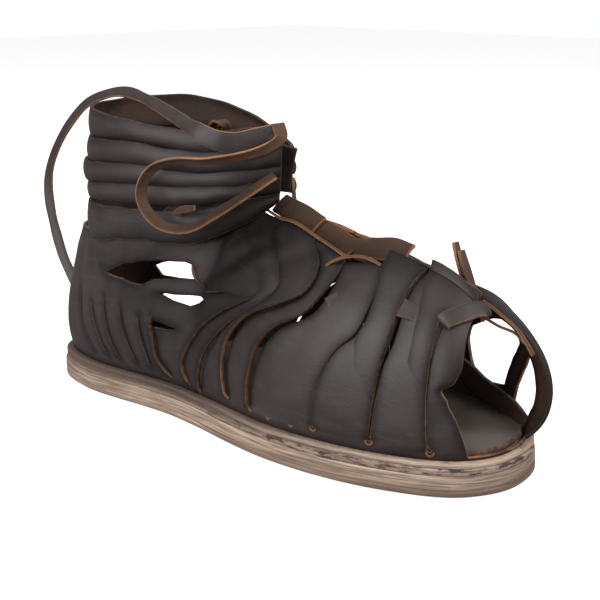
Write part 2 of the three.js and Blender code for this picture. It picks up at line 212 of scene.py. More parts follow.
def newGroup(name, inputs, outputs):
    tree = bpy.data.node_groups.new(name, "ShaderNodeTree")
    for label, kind in inputs:
        tree.interface.new_socket(label, in_out="INPUT", socket_type="NodeSocket" + kind)
    for label, kind in outputs:
        tree.interface.new_socket(label, in_out="OUTPUT", socket_type="NodeSocket" + kind)
    give, take = tree.nodes.new("NodeGroupInput").outputs, tree.nodes.new("NodeGroupOutput").inputs
    return tree, Net(tree), give, take


# leather: clouded dye, long faint rubs, fine speckle, pores and soft wrinkles, and painted shade, darker and
# less glossy where its point attribute is high
def hideGroup():
    tree, net, give, take = newGroup(
        "hide", [("Light", "Color"), ("Dark", "Color"), ("Rub", "Color"), ("Rub amount", "Float"),
                 ("Roughness", "Float"), ("Grain", "Float")],
        [("Color", "Color"), ("Roughness", "Float"), ("Metallic", "Float"), ("Normal", "Vector")])
    where = net.add("TexCoord", "Object")
    cloud = net.noise(where, 26.0, 5.0, 0.6)
    tone = net.mix(net.step(cloud, 0.32, 0.70), give["Dark"], give["Light"])
    rub = net.streaks(where, (45, 60, 330), turn=(0.5, 0.3, 0.6))
    spots = net.noise(where, 190.0, 4.0, 0.7)
    rubbed = net.times(net.step(rub, 0.54, 0.80), net.step(spots, 0.30, 0.62))
    tone = net.over(tone, give["Rub"], rubbed, give["Rub amount"])
    speck = net.step(net.noise(where, 950.0, 2.0, 0.6), 0.30, 0.70)
    tone = net.mix(speck, tone, net.mix(1.0, tone, (1.16, 1.15, 1.13), "MULTIPLY"))
    # painted shade: where the point attribute is high the colour goes dark and metallic rises, so it reflects
    # less
    paintedShade = net.add("Attribute", "Fac", attribute_name="paintedShade")
    net.put(take["Color"], net.mix(paintedShade, tone, srgb(16, 11, 10)))
    net.put(take["Metallic"], net.times(paintedShade, 0.85))
    dull = net.plus(net.times(cloud, 0.22), net.times(rubbed, 0.14))
    net.put(take["Roughness"], net.plus(net.math("SUBTRACT", give["Roughness"], 0.11), dull))
    pores = net.add("TexVoronoi", "Distance", dict(Vector=where, Scale=1150.0))
    fine = net.bump(give["Grain"], 0.00012, pores)
    wrinkles = net.noise(net.stretch(where, (1.0, 1.0, 1.6), (0.2, 0.4, 0.3)), 120.0, 4.0, 0.6)
    net.put(take["Normal"], net.bump(0.30, 0.0004, wrinkles, Normal=fine))
    return tree


hide = hideGroup()


def newMaterial(name):
    mat = bpy.data.materials.new(name)
    mat.use_nodes = True
    return mat, Net(mat.node_tree), mat.node_tree.nodes["Principled BSDF"]


# light, dark and rubbed colour, how much rub, roughness, grain
leathers = dict(
    upper_grain=((46, 36, 34), (28, 20, 19), (84, 70, 63), 0.30, 0.53, 0.22),
    upper_inside=((66, 44, 33), (38, 26, 20), (92, 64, 46), 0.35, 0.70, 0.5),
    lace_flesh=((84, 56, 38), (50, 33, 24), (122, 86, 57), 0.45, 0.80, 0.8),
    insole_skin=((108, 98, 93), (66, 57, 54), (124, 112, 105), 0.30, 0.36, 0.15),
    cut_edge=((148, 102, 64), (92, 60, 36), (66, 44, 31), 0.60, 0.72, 0.7),
)


def leatherMaterial(name):
    mat, net, shader = newMaterial(name)
    node = net.nodes.new("ShaderNodeGroup")
    node.node_tree = hide
    for key, value in zip(("Light", "Dark", "Rub", "Rub amount", "Roughness", "Grain"), leathers[name]):
        net.put(node.inputs[key], srgb(*value) if isinstance(value, tuple) else value)
    net.put(shader.inputs["Roughness"], node.outputs["Roughness"])
    net.put(shader.inputs["Metallic"], node.outputs["Metallic"])
    shader.inputs["Specular IOR Level"].default_value = 0.46
    net.put(shader.inputs["Normal"], node.outputs["Normal"])
    net.put(shader.inputs["Base Color"], node.outputs["Color"])
    return mat, net, shader, node


grainSide = leatherMaterial("upper_grain")[0]
insideDark = leatherMaterial("upper_inside")[0]
fleshSide = leatherMaterial("lace_flesh")[0]
insoleSkin = leatherMaterial("insole_skin")[0]


# cut edge: dark dye where the raw attribute is low, bare tan leather where it is high, ragged between
def edgeMaterial():
    mat, net, shader, node = leatherMaterial("cut_edge")
    raw = net.add("Attribute", "Fac", attribute_name="raw")
    ragged = net.math("SUBTRACT", net.noise(net.add("TexCoord", "Object"), 260.0, 4.0, 0.65), 0.5)
    bare = net.step(net.plus(raw, net.times(ragged, 0.9)), 0.30, 0.70)
    net.put(shader.inputs["Base Color"], net.mix(bare, srgb(38, 28, 25), node.outputs["Color"]))
    return mat


cutEdge = edgeMaterial()

# outer face, inner face and edge of each kind of piece
strapMats = [grainSide, insideDark, cutEdge]
laceMats = [grainSide, fleshSide, cutEdge]
turnedMats = [fleshSide, grainSide, cutEdge]
tanMats = [fleshSide, fleshSide, cutEdge]
edgeMats = [cutEdge, cutEdge, cutEdge]


# stacked leather layers of the sole: level streaks, ochre patches, dark joints, dark specks in the welt
# towards the toe, a darker top layer towards the heel, a soiled foot, and painted shade with some dirt over
# the heel half
def layerMaterial():
    mat, net, shader = newMaterial("sole_layers")
    where = net.add("TexCoord", "Object")
    split = net.nodes.new("ShaderNodeSeparateXYZ")
    net.put(split.inputs[0], where)
    ahead, level = split.outputs["X"], split.outputs["Z"]
    warp = net.times(net.math("SUBTRACT", net.noise(where, 18.0), 0.5), 0.0011)
    level = net.plus(level, warp)
    share = net.math("DIVIDE", level, 0.0150)
    streak = net.streaks(where, (30, 30, 900), 6.0, 0.72)
    broad = net.streaks(where, (12, 12, 130), 3.0, 0.5)
    tone = net.mix(net.step(streak, 0.36, 0.62), srgb(94, 76, 65), srgb(176, 154, 136))
    tone = net.mix(net.step(broad, 0.50, 0.72), tone, srgb(96, 77, 63))
    ochre = net.streaks(where, (30, 30, 160), 2.0, 0.5)
    tone = net.over(tone, srgb(136, 104, 72), net.step(ochre, 0.60, 0.74), 0.45)
    joints = net.ramp(share, [(0.0, 0.55), (0.03, 0.1), (0.185, 0), (0.2, 0.8), (0.215, 0), (0.385, 0),
                              (0.4, 0.7), (0.415, 0), (0.588, 0.05), (0.602, 1.0), (0.622, 0.15),
                              (0.80, 0.05), (0.815, 0.8), (0.83, 0.05), (1.0, 0)])
    broken = net.step(net.streaks(where, (55, 55, 90), 3.0, 0.6), 0.34, 0.56)
    tone = net.over(tone, srgb(62, 48, 40), joints, broken)
    welt = net.ramp(share, [(0.0, 0), (0.60, 0), (0.63, 1), (0.80, 1), (0.84, 0), (1.0, 0)])
    specks = net.step(net.streaks(where, (130, 130, 620), 5.0, 0.7), 0.46, 0.58)
    tone = net.over(tone, srgb(58, 42, 34), welt, specks, net.step(ahead, -0.06, 0.05))
    tone = net.over(tone, srgb(60, 44, 37), net.step(share, 0.62, 0.74), net.step(ahead, 0.12, -0.02),
                    net.step(streak, 0.30, 0.42))
    soiled = net.times(net.step(level, 0.0022, 0.0002), 0.6)
    tone = net.over(tone, srgb(104, 82, 64), soiled, net.step(streak, 0.35, 0.55))
    # painted shade, with some dirt: the whole wall darker towards the heel
    tone = net.over(tone, srgb(104, 84, 72), net.step(ahead, 0.02, -0.14), 0.45)
    net.put(shader.inputs["Base Color"], tone)
    shader.inputs["Roughness"].default_value = 0.78
    rough = net.bump(0.65, 0.0006, streak)
    net.put(shader.inputs["Normal"], net.bump(0.5, 0.0004, net.noise(where, 420.0, 3.0, 0.6), Normal=rough))
    return mat


soleLayers = layerMaterial()
print("materials done")


# the sole's outline, the feather line and the form of the upper

soleSize = dict(outsoleTop=9.0, soleTop=14.2, featherInset=5.0, gap=0.3)
soleEdge = columns("x y", [
    (0, -1), (9, -22), (42, -35), (108, -36), (193, -49), (246, -42.5), (277, -26),
    (285, -2), (269, 33), (180, 56), (105, 43.5), (40, 38), (10, 25),
])
edgeFine = 60    # points on each span of the outline
edgePoint, edgeWay = closedCurve(np.column_stack([soleEdge["x"], soleEdge["y"]]), edgeFine)
edgeOut = np.column_stack([edgeWay[:, 1], -edgeWay[:, 0]])
toeIndex = 7 * edgeFine    # the eighth point of the table is the tip of the toe


# feather line from heel to toe tip on one side: points, outward direction, share of the length
def halfRail(side):
    count = len(edgePoint)
    order = np.arange(toeIndex + 1) if side < 0 else np.arange(count, toeIndex - 1, -1) % count
    point = edgePoint[order] - edgeOut[order] * soleSize["featherInset"]
    run = np.r_[0, np.cumsum(np.linalg.norm(np.diff(point, axis=0), axis=1))]
    return point, edgeOut[order], run / run[-1]


rails = {-1: halfRail(-1), 1: halfRail(1)}


# point and outward direction on a rail at a share of its length
def onRail(side, share):
    point, out, along = rails[side]
    return [np.stack([np.interp(share, along, v[:, i]) for i in (0, 1)], -1) for v in (point, out)]


formNames = "share topX topOut topZ footRise footLean headX headOut headZ"
innerForm = columns(formNames, [
    (0, 26, 0, 140, 36, 5, 0, 0, -66),
    (0.08, 34, 20, 140, 36, 5, 0, -3, -66),
    (0.16, 52, 32, 138, 34, 3, -3, -5, -62),
    (0.26, 86, 36, 134, 30, 1, -8, -4, -58),
    (0.35, 120, 23, 132, 30, 0, -14, 0, -52),
    (0.41, 139, 6, 131, 32, 0, -12, 10, -50),
    (0.455, 145, 7, 101, 36, 0, -14, 18, -22),
    (0.58, 178, 9, 97, 40, 1, -10, 24, -10),
    (0.68, 205, 7, 93, 38, 2, -4, 30, -8),
    (0.78, 230, 8, 88, 34, 3, -1, 30, -8),
    (0.88, 254, 8, 82, 30, 3, 2, 26, -8),
    (0.96, 268, 5, 72, 26, 3, 6, 18, -8),
    (1, 274, 0, 62, 22, 3, 6, 0, -8),
])
outerForm = columns(formNames, [
    (0, 26, 0, 140, 36, 5, 0, 0, -66),
    (0.08, 34, 20, 141, 36, 5, 0, -3, -66),
    (0.16, 52, 32, 140, 34, 3, -3, -5, -62),
    (0.26, 86, 36, 138, 30, 1, -8, -4, -58),
    (0.35, 120, 28, 134, 30, 0, -14, 0, -52),
    (0.41, 141, 14, 126, 32, 0, -12, 10, -48),
    (0.455, 148, 9, 103, 36, 0, -14, 18, -22),
    (0.58, 178, 9, 93, 40, 1, -10, 24, -10),
    (0.68, 205, 8, 88, 38, 2, -4, 28, -8),
    (0.78, 230, 9, 82, 34, 3, -1, 26, -8),
    (0.88, 254, 9, 77, 24, 8, 16, 14, -7),
    (0.925, 255, 8, 74, 8, 14, 46, 4, -16),
    (0.96, 264, 6, 69, 14, 12, 24, 4, -10),
    (1, 274, 0, 62, 22, 3, 6, 0, -8),
])


# mid wall of the upper, a cubic arch from the feather line to the top line at each share of the sole edge:
# (1-t)^3 start + 3(1-t)^2 t foot handle + 3(1-t) t^2 head handle + t^3 end, then straight on above the end
def onForm(side, share, height):
    form = innerForm if side < 0 else outerForm
    get = {name: smooth(share, form["share"], form[name]) for name in form if name != "share"}
    at, out = onRail(side, share)
    start = np.concatenate([at, np.full(at.shape[:-1] + (1,), soleSize["soleTop"] + soleSize["gap"])], -1)
    foot = start + np.concatenate([out * get["footLean"][..., None], get["footRise"][..., None]], -1)
    end = np.stack([get["topX"], side * get["topOut"], get["topZ"]], -1)
    head = end + np.stack([get["headX"], side * get["headOut"], get["headZ"]], -1)
    t = np.clip(height, 0, 1)[..., None]
    r = 1 - t
    at = start * r ** 3 + foot * 3 * r * r * t + head * 3 * r * t * t + end * t ** 3
    rise = unit(unit(end - head) * 0.4 + np.array([0, 0, 1.0]))
    return at + rise * np.maximum(height - 1, 0)[..., None] * 100


# by small differences: the wall's outward normal, and mm per unit of share and per unit of height
def formFrame(side, share, height):
    d = 0.004
    s0, s1 = np.maximum(share - d, 0), np.minimum(share + d, 1)
    h0, h1 = np.maximum(height - d, 0), height + d
    across = onForm(side, s1, height) - onForm(side, s0, height)
    up = onForm(side, share, h1) - onForm(side, share, h0)
    n = unit(np.cross(across, up) * (1 if side < 0 else -1))
    n[..., 1] = np.where((share < 1e-6) | (share > 1 - 1e-6), 0, n[..., 1])
    n[..., 2] = np.where(height < 1e-6, 0, n[..., 2])
    return unit(n), np.linalg.norm(across, axis=-1) / (s1 - s0), np.linalg.norm(up, axis=-1) / (h1 - h0)


# points within 0.02 mm become one; faces keep their corners
def weld(mid, normal, raw, quads):
    cells = np.round(mid * 50).astype(np.int64)
    _, first, inverse = np.unique(cells, axis=0, return_index=True, return_inverse=True)
    used, back = np.unique(inverse.ravel()[quads], return_inverse=True)
    return mid[first][used], normal[first][used], raw[first][used], back.reshape(-1, 4)


# the faces of a grid of points
def gridQuads(rows, cols):
    index = np.arange(rows * cols).reshape(rows, cols)
    return np.stack([index[:-1, :-1], index[:-1, 1:], index[1:, 1:], index[1:, :-1]], -1).reshape(-1, 4)


# which faces have at least three different corners
def solidFaces(faces):
    return (np.diff(np.sort(faces, axis=1), axis=1) > 0).sum(axis=1) > 1


# a piece on the only body, with a material number for each face and its attributes for each point
def meshObject(name, points, faces, index, mats, raw=None, paintedShade=None):
    mesh = bpy.data.meshes.new(name)
    mesh.from_pydata(toFrame(points).tolist(), [], [list(dict.fromkeys(f)) for f in faces.tolist()])
    mesh.polygons.foreach_set("material_index", index.astype(np.int32))
    mesh.polygons.foreach_set("use_smooth", np.ones(len(faces), bool))
    if raw is not None:
        mesh.attributes.new("raw", "FLOAT", "POINT").data.foreach_set("value", raw)
        mesh.attributes.new("paintedShade", "FLOAT", "POINT").data.foreach_set("value", paintedShade)
    for mat in mats:
        mesh.materials.append(mat)
    mesh.validate()
    obj = addObject(name, mesh)
    obj.modifiers.new("weighted", "WEIGHTED_NORMAL")
    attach(obj, "root")
    return obj


# places where shade is painted onto the leather, darkening it: x, y, z, reach in mm, how dark
shadeSpots = columns("x y z reach deep", [
    (150, -12, 88, 26, 0.66), (128, -30, 74, 26, 0.55), (180, -14, 86, 24, 0.55), (205, -14, 84, 20, 0.4),
    (112, -36, 40, 34, 0.32), (160, -38, 52, 26, 0.22), (222, -8, 88, 20, 0.45), (78, -40, 62, 18, 0.3),
    (244, -8, 80, 13, 0.35), (140, 0, 116, 14, 0.35), (96, -40, 66, 18, 0.35),
])
# painted shade, partly darker dye, along the free edges: how dark, and its reach in mm
edgeShade = dict(deep=0.5, reach=2.6)


# how much shade is painted on the leather: 1 - product of (1 - deep * exp(-(distance / reach)^2)) over the
# places
def paintedShadeAt(points):
    clean = np.ones(len(points))
    for x, y, z, reach, deep in zip(*shadeSpots.values()):
        away = np.linalg.norm(points - np.array([x, y, z]), axis=1)
        clean *= 1 - deep * np.exp(-(away / reach) ** 2)
    return 1 - clean


# the same with a line of painted shade, partly darker dye, along the free edges: deep * exp(-(distance to the
# edge / reach)^2)
def paintedShadeByEdge(points, edge):
    tree = kdtree.KDTree(len(edge))
    for k, point in enumerate(edge):
        tree.insert(point, k)
    tree.balance()
    away = np.array([tree.find(point)[2] for point in points])
    return 1 - (1 - paintedShadeAt(points)) * (1 - edgeShade["deep"] * np.exp(-(away / edgeShade["reach"]) ** 2))


# closed leather from a mid sheet: the faces are mid + and - normal * half thickness, with a wall and two
# small bevels along every free edge; mats are for the outer face, the inner face and the edge
def leatherObject(name, mid, normal, quads, thick, mats, bevel=0.3, slot="upper_leather", raw=0.5):
    count = len(mid)
    facing = np.cross(mid[quads[:, 1]] - mid[quads[:, 0]], mid[quads[:, 2]] - mid[quads[:, 0]])
    if (facing * normal[quads[:, 0]]).sum() < 0:
        quads = quads[:, ::-1]
    a, b = quads.ravel(), np.roll(quads, -1, axis=1).ravel()
    keep = a != b
    a, b = a[keep], b[keep]
    free = ~np.isin(a * count + b, b * count + a)
    p, q = a[free], b[free]
    out = np.zeros_like(mid)
    side = np.cross(mid[q] - mid[p], normal[p])
    np.add.at(out, p, side)
    np.add.at(out, q, side)
    out = unit(out)
    rim = np.unique(p)
    place = np.full(count, -1)
    place[rim] = np.arange(len(rim))
    h = thick / 2
    loopA = mid[rim] + out[rim] * bevel + normal[rim] * (h - bevel)
    loopB = mid[rim] + out[rim] * bevel - normal[rim] * (h - bevel)
    points = np.vstack([mid + normal * h, mid - normal * h, loopA, loopB])
    la, lb = 2 * count + place, 2 * count + len(rim) + place
    walls = [np.column_stack([p, la[p], la[q], q]), np.column_stack([la[p], lb[p], lb[q], la[q]]),
             np.column_stack([lb[p], p + count, q + count, lb[q]])]
    faces = np.vstack([quads, quads[:, ::-1] + count] + walls)
    index = np.repeat([0, 1, 2, 2, 1], [len(quads), len(quads), len(p), len(p), len(p)])
    keep = solidFaces(faces)
    raw = np.broadcast_to(np.array(raw, float), (count,))
    # painted shade for each point: round the spots, and on the upper's leather also along its free edges
    paintedShade = paintedShadeByEdge(mid, mid[rim]) if slot == "upper_leather" else paintedShadeAt(mid)
    return meshObject(name, points, faces[keep], index[keep], mats,
                      np.concatenate([raw, raw, raw[rim], raw[rim]]),
                      np.concatenate([paintedShade, paintedShade, paintedShade[rim] * 0.1, paintedShade[rim] * 0.1]))


# the same from a grid of points and normals
def leatherGrid(name, at, normal, thick, mats, **more):
    quads = gridQuads(*at.shape[:2])
    return leatherObject(name, at.reshape(-1, 3), normal.reshape(-1, 3), quads, thick, mats, **more)


# sole: rings of the outline at the heights and insets of a profile, closed below and above

# mm: how far the edge and the joints wander, and how the top layer turns up at the heel
stackLook = dict(wander=0.35, joints=0.3, heelLift=0.9, heelReach=16)
soleProfiles = dict(
    outsole=[(0, 1.2), (0.35, 0.4), (1, 0.1), (2.6, 0), (2.95, 0.4), (3.3, 0), (5.7, 0), (6, 0.45),
             (6.3, 0.05), (8.6, 0.1), (9, 0.9)],
    rim=[(9, 0.9), (9.25, 0.75), (10.5, 0.6), (11.9, 0.7), (12.2, 1.1), (12.5, 0.7), (13.5, 0.8), (14.0, 1.2),
         (14.2, 2.0), (14.2, 3.2)],
)


# inner and outer half of the outline, each from heel to toe, at an inset from the sole's edge
def soleRing(inset, shares):
    half = []
    for side in (-1, 1):
        at, out = onRail(side, shares)
        half.append(at + out * (soleSize["featherInset"] - inset))
    return half[0], half[1]


def buildStack(name, profile, seed):
    shares = np.linspace(0, 1, 241)
    rings = []
    for z, inset in profile:
        inner, outer = soleRing(inset, shares)
        flat = np.vstack([inner, outer[-2:0:-1]])
        ring = np.column_stack([flat, np.full(len(flat), float(z))])
        out = unit(np.column_stack([flat - flat.mean(axis=0), np.zeros(len(flat))]))
        # layers wander in and out by a fraction of a millimetre; joints between layers wander up and down
        ring += out * (waves(ring * np.array([1, 1, 6.0]), 30, stackLook["wander"], seed) - 0.1)[:, None]
        if 0.5 < z < 14.1:
            ring[:, 2] += waves(ring * np.array([1, 1, 0.2]), 38, stackLook["joints"], seed + 1)
        if z > 9.5:
            lift = stackLook["heelLift"] * np.exp(-(ring[:, 0] / stackLook["heelReach"]) ** 2)
            ring[:, 2] += lift * (z - 9.5) / 4.7
        rings.append(ring)
    size = len(rings[0])
    points = np.vstack(rings)
    here = np.arange(size)
    there = (here + 1) % size
    wall = np.column_stack([here, there, there + size, here + size])
    walls = [wall + k * size for k in range(len(rings) - 1)]
    k = np.arange(len(shares) - 1)
    mirror = (size - np.arange(len(shares))) % size
    cap = np.column_stack([k, k + 1, mirror[k + 1], mirror[k]])
    faces = np.vstack(walls + [cap[:, ::-1], cap + (len(rings) - 1) * size])
    faces = faces[solidFaces(faces)]
    obj = meshObject("sole_" + name, points, faces, np.zeros(len(faces)), [soleLayers])
    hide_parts(name)


for seed, (stackName, profile) in enumerate(soleProfiles.items()):
    buildStack(stackName, profile, 11 + seed)


# insole: a sheet across the sole, its edge a little curled up
insoleSize = dict(inset=6.5, level=15.55, thick=2.6, curl=0.7, curlReach=3.0, rows=200, cols=26)


def buildInsole():
    inner, outer = soleRing(insoleSize["inset"], np.linspace(0, 1, insoleSize["rows"]))
    u = np.linspace(0, 1, insoleSize["cols"])[None, :, None]
    flat = inner[:, None, :] * (1 - u) + outer[:, None, :] * u
    wide = np.linalg.norm(outer - inner, axis=1)[:, None]
    edge = np.minimum(u[..., 0], 1 - u[..., 0]) * wide
    z = insoleSize["level"] + insoleSize["curl"] * np.exp(-edge / insoleSize["curlReach"])
    mid = np.concatenate([flat, z[..., None]], -1)
    mid[..., 2] += waves(mid, 40, 0.35, 5)
    mid = mid.reshape(-1, 3)
    normal = np.tile([0.0, 0.0, 1.0], (len(mid), 1))
    quads = gridQuads(insoleSize["rows"], insoleSize["cols"])
    mid, normal, raw, quads = weld(mid, normal, np.full(len(mid), 0.35), quads)
    obj = leatherObject("insole_board", mid, normal, quads, insoleSize["thick"],
                        [insoleSkin, insideDark, cutEdge], bevel=0.6, slot="insole_leather", raw=raw)
    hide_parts("insole")


buildInsole()
print("sole done")


# upper: straps between cut lines, from the heel to the toe opening on both sides

band = 0.012    # height of the low edge that runs on round the toe
# heights at which the cut lines are given
stations = np.array([0, 0.1, 0.2, 0.3, 0.4, 0.5, 0.6, 0.75, 0.9, 1.0])


# one cut line. at: thousandths of the sole edge at each station of height; gap: mm, one number or one a
# station; opens, shuts: heights where the cut runs; near, far: heights where the leather ends to its heel
# and toe side; lift: mm the two edges stand out; raw: how tan the cut edge is, one number or the foot's
# and the head's; hole: punched at its foot; jut: share, height and reach of a corner in the line
def cut(at, gap=0, opens=0.05, shuts=0, near=0.7, far=None, lift=(0, 0), raw=0.2, hole=False, jut=(0, 0, 1)):
    gap = gap if isinstance(gap, list) else [gap]
    at, gap = (np.array(v + [v[-1]] * (len(stations) - len(v)), float) for v in (at, gap))
    return dict(at=at / 1000, gap=gap, opens=opens, shuts=shuts, near=near, far=near if far is None else far,
                lift=lift, raw=raw, hole=hole, jut=jut)


heelCuts = [
    cut([0], near=0.62),
    cut([200, 168, 140, 128, 122], 0.35, 0.05, 0.34, 0.62, lift=(0.5, 0)),
    cut([235, 210, 190, 175, 168], 0.35, 0.05, 0.31, 0.62, lift=(0.5, 0)),
    cut([262, 240, 222, 212, 206], 0.35, 0.05, 0.35, 0.64, lift=(0.5, 0)),
    cut([300, 280, 262, 252, 247], 0.4, 0.05, 0.34, 0.66, lift=(0.5, 0)),
    cut([332, 314, 298, 289, 285], 0.4, 0.05, 0.3, 0.68, lift=(0.6, 0)),
]
innerCuts = heelCuts + [
    cut([385, 338, 325, 316, 330, 335], 1, 0.03, 0.31, 0.8, lift=(1, -0.8), raw=0.5),
    cut([430, 400, 406, 437, 493, 565, 560, 500, 440], 0.8, 0.025, 0.49, 0.97, lift=(1.2, -0.3),
        raw=(0.5, 0.2)),
    cut([450, 449, 463, 494, 540, 595, 610, 570, 520], [2, 2.6, 2.4, 1.6, 0.6, 0], 0.01, 0.4, 1,
        0.985, lift=(0.8, -0.6), raw=(0.5, 0.3)),
    cut([535, 520, 519, 530, 565, 630, 668, 663, 615], [1.2, 1.6, 2.2, 3.2, 3.4, 2, 0.3, 0.3, 0.5],
        0.035, 1, 0.895, 0.9, lift=(1.3, -1), raw=(0.62, 0.25)),
    cut([585, 583, 591, 606, 637, 685, 702, 705, 690], [0.8, 1.2, 2.2, 3.2, 3.6, 3.2, 3, 1, 0.5], 0.035,
        1, 0.83, 0.82, lift=(1.2, -1), raw=(0.5, 0.2)),
    cut([718, 718, 723, 735, 752, 778, 787, 785, 766, 744], [1, 1, 1.3, 1.6, 1.8, 2.4, 2.4, 0.6, 0.4],
        0.045, 1, 0.9, 1, lift=(0.2, 1.5), raw=(0.4, 0.15), hole=True),
    cut([806, 810, 815, 820, 825, 833, 837, 838, 836], [1.4, 1.4, 1.4, 1.6, 1.8, 2.4, 2.4, 1.5, 0.4],
        0.045, 1, 1.01, 1.02, lift=(0.2, 0), raw=(0.38, 0.15), hole=True),
    cut([893, 888, 888, 889, 892, 895, 901, 908, 905], [0.9, 0.9, 0.9, 0.8, 0.7, 0.5, 0.3], 0.035, 0.8,
        1.05, lift=(0.6, 0), raw=(0.5, 0.2), hole=True),
    cut([940, 933, 925, 915, 926, 938, 943, 948, 953, 956], near=1.07, far=band, raw=(0.8, 0.2),
        jut=(-0.012, 0.35, 0.05)),
    cut([1000], near=band, raw=0.35),
]
outerCuts = [dict(c, shuts=min(c["shuts"], 0.13)) for c in heelCuts] + [
    cut([385, 348, 335, 326, 335, 335], 1.6, 0.03, 0.31, 0.66, lift=(1, -0.8), raw=0.6),
    cut([430, 405, 411, 437, 480, 530, 530, 490, 430], 3, 0.025, 0.45, 0.76, 0.95, lift=(1.2, -0.3),
        raw=0.6),
    cut([460, 455, 458, 470, 520, 560, 575, 550, 510], [2, 3, 4.5, 5, 2, 0, 0, 0, 0], 0.02, 0.4, 0.97,
        lift=(0.8, -0.6), raw=0.5),
    cut([532, 527, 531, 538, 562, 610, 635, 635, 600], [1.2, 3, 5, 3.5, 2, 1, 0.6, 0.6, 0.6], 0.035, 1,
        0.96, 0.95, lift=(1, -0.6), raw=0.5),
    cut([585, 580, 586, 600, 625, 660, 675, 680, 670], [0.8, 2, 2.6, 3, 3, 2.4, 1.6, 1, 0.6], 0.035, 1,
        0.95, 0.96, lift=(1, -0.6), raw=0.5),
    cut([665, 665, 672, 690, 700, 715, 730, 735, 735], [1, 2, 3.2, 3.4, 2.4, 2, 1.4, 1, 0.6], 0.045, 1,
        0.97, 0.98, lift=(0.2, 0.8), raw=0.5),
    cut([795, 795, 792, 798, 813, 838, 852, 845, 835], [16, 18, 26, 32, 33, 26, 10, 1, 0.5], 0.13, 0.61,
        1, lift=(0, 0), raw=0.5),
    cut([872, 873, 878, 883, 887, 889, 890, 888, 885], [16, 16, 16, 13, 7, 2, 1, 1, 0.5], 0.045, 0.46,
        1, lift=(0, 0), raw=0.5),
    cut([930], near=1, far=band, raw=0.25),
    cut([1000], near=band, raw=0.6),
]


# one opening along the shoe. row: the height it is cut at; down, up: how far below and above the leather
# gives way; rows: share, lower and upper lip in thousandths, mm that each stands out, how tan they are
def opening(row, down, up, rows):
    rows = np.array(rows, float) / [1000, 1000, 1000, 1, 1, 1]
    return dict(row=row, down=down, up=up, **columns("share low high sink lift raw", rows))


innerOpenings = [
    opening(0.49, 0.06, 0.17, [(205, 470, 470, 0, 0, 0.5), (250, 468, 540, 0, 0, 0.45),
        (290, 452, 562, 0, 0, 0.3), (310, 482, 566, -0.6, 0, 0.3), (370, 492, 568, -1, 0.4, 0.4),
        (382, 492, 545, -1.2, 1.2, 0.7), (392, 492, 495, -1.6, 1.8, 0.9), (408, 490, 472, -1.6, 1.8, 0.9),
        (450, 500, 485, -1.4, 1.4, 0.7), (494, 520, 508, -0.8, 1, 0.3), (525, 490, 490, 0, 0, 0.1)]),
    opening(0.425, 0.12, 0.04, [(322, 425, 425, 0, 0, 0.2), (335, 412, 432, 0, 0, 0.3),
        (350, 398, 428, 0, 0, 0.3), (390, 378, 430, -0.4, 0, 0.3), (415, 404, 430, -0.4, 0, 0.2),
        (426, 425, 425, 0, 0, 0.2)]),
    opening(0.275, 0.05, 0.05, [(314, 275, 275, 0, 0, 0.6), (318, 256, 299, -0.8, 0, 0.6),
        (335, 256, 293, -0.8, 0, 0.4), (364, 262, 281, -0.4, 0, 0.3), (372, 275, 275, 0, 0, 0.2)]),
]
outerOpenings = [
    opening(0.36, 0.08, 0.1, [(100, 360, 360, 0, 0, 0.4), (117, 310, 385, 0, 0, 0.4),
        (150, 302, 410, 0, 0, 0.4), (215, 320, 420, 0, 0, 0.4), (245, 360, 360, 0, 0, 0.4)]),
    opening(0.2, 0.06, 0.06, [(115, 200, 200, 0, 0, 0.4), (130, 165, 225, 0, 0, 0.4),
        (175, 155, 240, 0, 0, 0.4), (215, 180, 235, 0, 0, 0.4), (230, 200, 200, 0, 0, 0.4)]),
]

# folds pressed into both sides: soft troughs (deep above 0) and ridges (below 0) between two places,
# which are in thousandths; wide and deep are mm
folds = columns("share0 height0 share1 height1 wide deep", np.array([
    (450, 620, 560, 860, 5, 1.2), (500, 600, 600, 800, 4, -0.8), (464, 930, 551, 790, 1.3, 0.9),
    (420, 500, 500, 720, 5, 0.9), (300, 500, 330, 640, 5, 0.7), (230, 120, 260, 500, 6, -0.6),
    (120, 100, 140, 550, 7, 0.7), (60, 80, 80, 520, 8, -0.8), (360, 60, 365, 240, 4, 0.6),
    (470, 60, 490, 220, 4, 0.6), (640, 100, 690, 420, 6, 0.8), (670, 450, 740, 660, 5, -0.8),
    (760, 120, 790, 600, 5, 0.7), (850, 100, 852, 620, 4.5, 0.7), (868, 550, 880, 950, 3, -0.6),
    (905, 80, 915, 340, 4, 0.7), (800, 740, 812, 960, 3.5, 0.6), (600, 700, 660, 900, 4, 0.8),
]) / [1000, 1000, 1000, 1000, 1, 1])


# 0 where the line is uncut, rising to 1 a short way in from each end of the cut
def openAt(c, height):
    if c["shuts"] <= 0:
        return np.zeros_like(height)
    up = np.clip((height - c["opens"]) / 0.02, 0, 1)
    down = np.ones_like(height) if c["shuts"] >= 1 else np.clip((c["shuts"] - height) / 0.05, 0, 1)
    return np.sqrt(np.clip(up * down, 0, 1))


# share of the sole edge at a height, with the corner in the line
def lineAt(c, height):
    share, middle, reach = c["jut"]
    return smooth(height, stations, c["at"]) + share * np.clip(1 - np.abs(height - middle) / reach, 0, 1)


# how tan the cut's edge is: the foot's number up to 0.35, the head's from 0.7
def rawAt(c, height):
    foot, head = c["raw"] if isinstance(c["raw"], tuple) else (c["raw"], c["raw"])
    return foot + (head - foot) * np.clip((height - 0.35) / 0.35, 0, 1)


# width of the cut; a punched round hole stands at its foot
def gapAt(c, height):
    wide = np.maximum(np.interp(height, stations, c["gap"]), 0.3) * openAt(c, height)
    if not c["hole"]:
        return wide
    punched = 2.6 * np.sqrt(np.clip(1 - ((height - c["opens"] - 0.012) / 0.012) ** 2, 0, 1))
    return np.maximum(wide, punched * (openAt(c, height) > 0))


